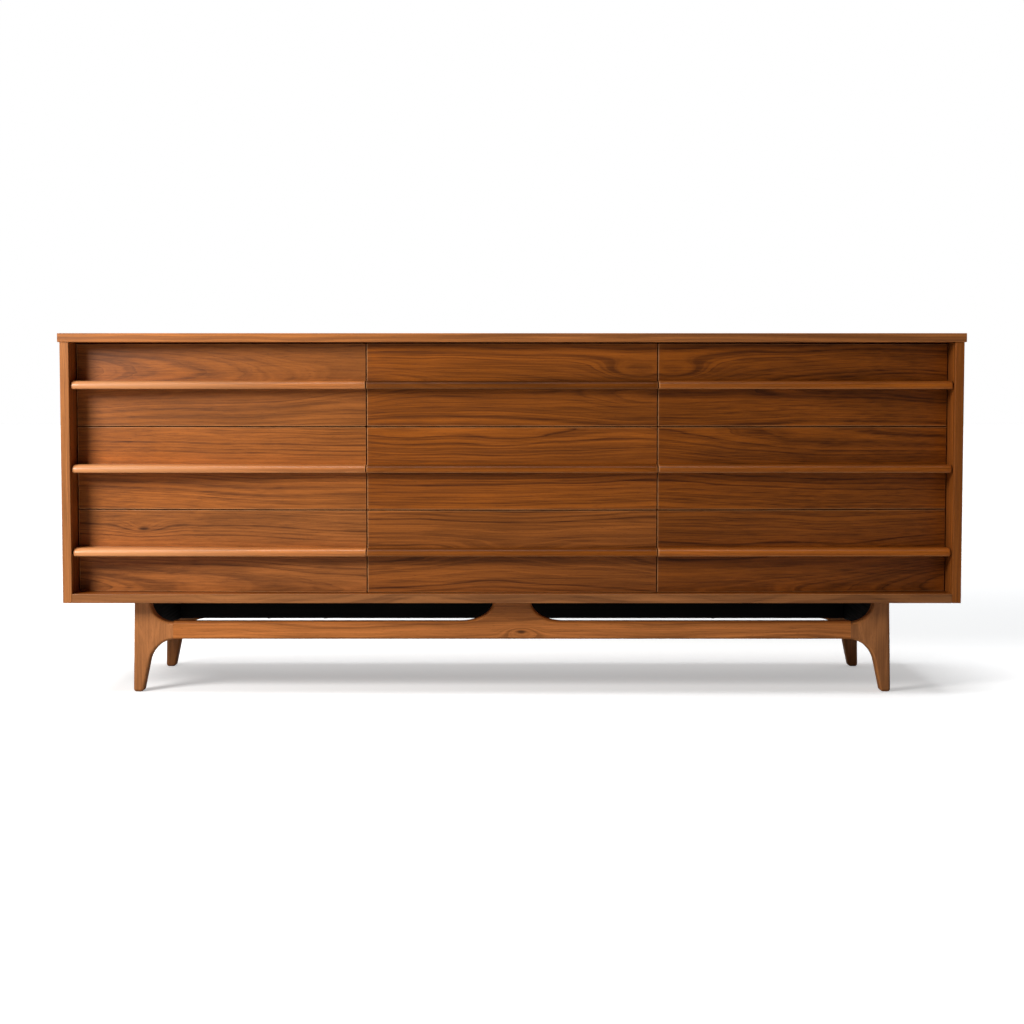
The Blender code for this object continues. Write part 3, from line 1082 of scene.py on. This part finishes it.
def frontWalnut(key):
    look = frontFigure[key]
    mirrored = look.get("mirrored", False)
    knots = []
    if "knot" in look:
        knot = look["knot"]
        knots.append({"centre": (-knot["x"] if mirrored else knot["x"], knot["z"], 0), **knot})
    edgeLight = {"box": nodeBox("front_" + key), "mirrored": mirrored, **frontEdgeLight}
    return makeWalnut("walnut, front " + key.replace("_", " "), "x", look["seed"], look["light"],
                      middle=(-bookMatch if mirrored else 0, 0, 0), pith=look["pith"], wander=look["wander"],
                      contrast=look.get("contrast", 1.0), knots=knots, mirrored=mirrored, paintedSheen=look["paintedSheen"],
                      edgeLight=edgeLight)


# painted light and shade: pulls lighter, with more sheen, on the left, darker and duller towards the middle,
# with painted shade in the upper crease
pullShade = {
    "left": {
        "top": 1.20, "middle": 1.24, "bottom": 1.36, "paintedSheen": 0.52, "gloss": 1.8, "bleach": 0.55, "creaseShade": 0.0,
    },
    "centre": {
        "top": 0.53, "middle": 0.80, "bottom": 0.76, "paintedSheen": 0.0, "gloss": 0.5, "bleach": 0.06, "creaseShade": 0.70,
    },
    "right": {
        "top": 1.0, "middle": 0.88, "bottom": 1.06, "paintedSheen": 0.0, "gloss": 0.8, "bleach": 0.05, "creaseShade": 0.25,
    },
}
pullGrain = {"firstSeed": 30.0, "rowSeed": 3.7, "columnSeed": 1.9}
# painted highlights on the pulls' lower edges and ends
pullEdgeLight = {
    "mirrored": False, "width": 0.0034, "upper": 0.0, "rightEnd": 0.6, "amount": 0.55, "crease": 0.009,
}


def pullWalnut(row, column):
    shade = pullShade[column]
    seed = pullGrain["firstSeed"] + rowNames.index(row) * pullGrain["rowSeed"]
    seed += columnNames.index(column) * pullGrain["columnSeed"]
    edgeLight = {"box": nodeBox("pull_" + row + "_" + column), "bleach": shade["bleach"], "creaseShade": shade["creaseShade"]}
    return makeWalnut("walnut, pull " + row + " " + column, "x", seed, shade[row], pith=(0.5, -0.1),
                      ringWidth=0.006, contrast=0.62, paintedSheen=shade["paintedSheen"], gloss=shade["gloss"],
                      edgeLight={**edgeLight, **pullEdgeLight})


def buildDrawers():
    for row in rowNames:
        for column in columnNames:
            key = row + "_" + column
            body = "drawer_" + key
            buildFront(key, frontWalnut(key), body)
            buildPull(key, pullWalnut(row, column), body)
            buildBox(key, body)
            dress("floor_" + key, plywood)


buildDrawers()
print("drawers ready")


# sled base

sled = {
    "legTopX": 0.775,
    "legFootX": 0.779,
    "legTopWidth": 0.033,
    "footWidth": 0.0205,
    "taperHeight": 0.063,
    "taperWidth": 0.0325,
    "lowerArch": 0.058,
    "upperArch": 0.0445,
    "seam": 0.079,                 # glue line, in from the outside of the leg
    "glueGap": 0.0001,
    "stretcherTop": 0.1455,
    "blockHalf": 0.039,
    "blockFlare": 0.066,
    "archSteps": 18,
    "archEndSteps": 4,
    "round": 0.006,
    "roundSteps": 5,
    "seamRound": 0.05,             # how much of that rounding the glue lines get
}
stretcherKnot = {"centre": (0.019, 0.124, 0), "size": (0.034, 0.012), "push": 0.012, "core": 0.32}
sledGrain = {"wander": 0.03, "ringWidth": 0.0065}
sledTop = nodeBox("leg_front_right")[1].z


def outsideOfLeg(z):
    return sled["legFootX"] + (sled["legTopX"] - sled["legFootX"]) * z / sledTop


def lowerArch(start, end, count):
    # from the inside of the leg to under the stretcher; it starts at the leg's own lean if start is None
    foot = sled["legFootX"] - sled["footWidth"]
    taper = outsideOfLeg(sled["taperHeight"]) - sled["taperWidth"]
    lean = math.atan2(foot - taper, sled["taperHeight"])
    radius = sled["lowerArch"]
    centre = (taper - radius * math.cos(lean), sled["taperHeight"] - radius * math.sin(lean))
    return arcPoints(centre, (radius, radius), math.degrees(lean) if start is None else start, end, count)


def seamTurn():
    archTop = lowerArch(90, 90, 1)[0][0]
    return math.degrees(math.acos((sled["legTopX"] - sled["seam"] - archTop) / sled["lowerArch"]))


def legOutline():
    seam = sled["legTopX"] - sled["seam"] + sled["glueGap"]
    inside = sled["legTopX"] - sled["legTopWidth"]
    lower = lowerArch(None, seamTurn(), sled["archSteps"])
    upper = arcPoints((seam, sledTop), (inside - seam, sled["upperArch"]), 270, 360, sled["archSteps"])
    foot = [(sled["legTopX"], sledTop), (sled["legFootX"], 0), (sled["legFootX"] - sled["footWidth"], 0)]
    return foot + lower[:-1] + [(seam, lower[-1][1])] + upper, seam


def stretcherOutline():
    end = sled["legTopX"] - sled["seam"]
    flare = arcPoints((sled["blockHalf"] + sled["blockFlare"], sledTop),
                      (sled["blockFlare"], sledTop - sled["stretcherTop"]), 180, 270, sled["archSteps"])
    right = flare + [(end, sled["stretcherTop"])] + lowerArch(seamTurn(), 90, sled["archEndSteps"])
    return [(-x, z) for x, z in reversed(right)] + right, end


def buildSledPiece(name, outline, seams, material):
    # rounded all along its outline, but square against the case and tight at the glue lines
    low, high = nodeBox(name)
    mesh = slabMesh(outline, "y", low.y, high.y)
    body = bmesh.new()
    body.from_mesh(mesh)
    weight = body.edges.layers.float.new("bevel_weight_edge")
    for edge in body.edges:
        ends = [vert.co for vert in edge.verts]
        flat = abs(ends[0].y - ends[1].y) < near
        atSeam = any(all(abs(end.x - seam) < near for end in ends) for seam in seams)
        atCase = all(end.z > sledTop - near for end in ends)
        atFoot = all(end.z < near for end in ends)
        if atFoot or flat and not atSeam and not atCase:
            edge[weight] = 1.0
        elif atSeam:
            edge[weight] = sled["seamRound"]
        edge.smooth = edge[weight] > 0 or not (atCase or atSeam)
    body.to_mesh(mesh)
    body.free()
    piece = addPiece(name + "_shaped", mesh, material, "case", (name,))
    softenEdges(piece, sled["round"], sled["roundSteps"], weighted=True)


def buildSled():
    leg, seam = legOutline()
    mirroredLeg = [(-x, z) for x, z in reversed(leg)]
    bar, end = stretcherOutline()
    for place, seed, knots in (("front", 21.0, (stretcherKnot,)), ("rear", 27.5, ())):
        for side, outline, way, legSeed in (("left", mirroredLeg, -1, seed), ("right", leg, 1, seed + 1)):
            # the legs and stretchers carry a painted sheen, and their light factor is partly painted light
            wood = makeWalnut("walnut, " + place + " " + side + " leg", "z", legSeed, 1.22,
                              pith=(0.74 * way, 0.06), contrast=0.62, paintedSheen=0.9, gloss=1.4, **sledGrain)
            buildSledPiece("leg_" + place + "_" + side, outline, [seam * way], wood)
        wood = makeWalnut("walnut, " + place + " stretcher", "x", seed + 5.3, 1.50, pith=(0.22, 0.05),
                          contrast=0.66, knots=knots, paintedSheen=0.5, **sledGrain)
        buildSledPiece("stretcher_" + place, bar, [-end, end], wood)
    dress("rail_left", blackPaintSides)
    dress("rail_right", blackPaintSides)
    dress("rail_rear", blackPaint)


buildSled()
print("sled base ready")


# floor, light and camera

studio = {
    "floorSize": 40,
    "floorColour": (0.80, 0.80, 0.80, 1),
    "floorRough": 0.8,
    "floorGlow": 0.41,
    "floorShadow": 0.24,              # painted shadow: how much darker the floor is behind the dresser, deepest to the right
    "shadowStart": (0.0, 0.8),
    "shadowEnd": (0.7, 4.0),
    "shadowAcross": (-1.3, 0.6),
    "floorBounce": 0.55,           # how much of the floor lights the wood
    "floorGloss": 0.15,            # how much of the floor the lacquer mirrors
    "backdrop": (1, 1, 1, 1),
    "ambientFront": 0.05,
    "ambientBack": 0.60,
    "ambientTurn": (-0.15, 0.6),   # where the ambient light goes from front to back
    "keyPlace": (-1.8, -1.65, 1.4),
    "keyAim": (-0.3, 0.0, 0.4),
    "keySize": 0.8,
    "keyPower": 54,
    "keyColour": (1.0, 0.985, 0.965),
    "overheadPlace": (-0.5, -0.1, 4.0),
    "overheadAim": (0.0, 0.0, 0.0),
    "overheadPower": 2.2,
    "overheadSpread": 36,
    "overheadColour": (0.965, 0.985, 1.0),
}


def buildFloor():
    body = bmesh.new()
    bmesh.ops.create_grid(body, x_segments=1, y_segments=1, size=studio["floorSize"])
    mesh = bpy.data.meshes.new("studioFloor")
    body.to_mesh(mesh)
    body.free()
    floor = bpy.data.objects.new("studioFloor", mesh)
    bpy.context.scene.collection.objects.link(floor)
    material, tree, shader = startMaterial("pale floor")
    ray = addNode(tree, "LightPath").outputs
    glossy = between(tree, ray["Is Glossy Ray"], 0, 1, 1, studio["floorGloss"])
    bounced = between(tree, ray["Is Diffuse Ray"], 0, 1, 1, studio["floorBounce"])
    shade = greyOf(tree, times(tree, glossy, bounced))
    colour = blendColours(tree, 1.0, studio["floorColour"], shade, "MULTIPLY")
    spot = splitVector(tree, addNode(tree, "TexCoord").outputs["Object"])
    # a painted shadow on the floor behind the dresser, deepest to the right
    started = between(tree, spot["Y"], *studio["shadowStart"])
    notEnded = between(tree, spot["Y"], *studio["shadowEnd"], 1.0, 0.0)
    inShadow = times(tree, times(tree, started, notEnded), between(tree, spot["X"], *studio["shadowAcross"]))
    glow = minus(tree, studio["floorGlow"], times(tree, inShadow, studio["floorShadow"]))
    tree.links.new(colour, shader.inputs["Base Color"])
    tree.links.new(times(tree, ray["Is Camera Ray"], glow), shader.inputs["Emission Strength"])
    shader.inputs["Emission Color"].default_value = studio["backdrop"]
    shader.inputs["Roughness"].default_value = studio["floorRough"]
    shader.inputs["Specular IOR Level"].default_value = 0.0
    floor.data.materials.append(material)


def buildWorld():
    world = bpy.data.worlds.new("studio")
    bpy.context.scene.world = world
    world.use_nodes = True
    tree = world.node_tree
    tree.nodes.clear()
    seen = addNode(tree, "Background", {"Color": studio["backdrop"], "Strength": 1.0})
    toward = splitVector(tree, addNode(tree, "TexCoord").outputs["Generated"])["Y"]
    glow = between(tree, toward, *studio["ambientTurn"], studio["ambientFront"], studio["ambientBack"])
    lit = addNode(tree, "Background", {"Color": studio["backdrop"], "Strength": glow})
    ray = addNode(tree, "LightPath").outputs
    mix = addNode(tree, "MixShader", {0: ray["Is Camera Ray"], 1: lit.outputs[0], 2: seen.outputs[0]})
    end = tree.nodes.new("ShaderNodeOutputWorld")
    tree.links.new(mix.outputs[0], end.inputs["Surface"])


def hangLight(name, light, place, target):
    lamp = bpy.data.objects.new(name, light)
    lamp.location = place
    lamp.rotation_euler = (Vector(target) - lamp.location).to_track_quat("-Z", "Y").to_euler()
    bpy.context.scene.collection.objects.link(lamp)
    return lamp


def buildLights():
    key = bpy.data.lights.new("key softbox", "AREA")
    key.shape = "SQUARE"
    key.size = studio["keySize"]
    key.energy = studio["keyPower"]
    key.color = studio["keyColour"]
    keyLamp = hangLight("key softbox", key, studio["keyPlace"], studio["keyAim"])
    overhead = bpy.data.lights.new("overhead bank", "SUN")
    overhead.energy = studio["overheadPower"]
    overhead.angle = math.radians(studio["overheadSpread"])
    overhead.color = studio["overheadColour"]
    lamp = hangLight("overhead bank", overhead, studio["overheadPlace"], studio["overheadAim"])


camera = {"lens": 65.03, "sensor": 36, "place": (0.0, -3.973, 0.599), "pitch": 3.46, "clipEnd": 200}


def buildCamera():
    view = bpy.data.cameras.new("front view")
    view.lens = camera["lens"]
    view.sensor_width = camera["sensor"]
    view.clip_end = camera["clipEnd"]
    holder = bpy.data.objects.new("front view", view)
    holder.location = camera["place"]
    holder.rotation_euler = (math.radians(90 - camera["pitch"]), 0, 0)
    bpy.context.scene.collection.objects.link(holder)
    bpy.context.scene.camera = holder


buildFloor()
buildWorld()
buildLights()
buildCamera()
bpy.context.scene.view_settings.view_transform = "Standard"
bpy.context.scene.view_settings.look = "None"
print("studio ready")
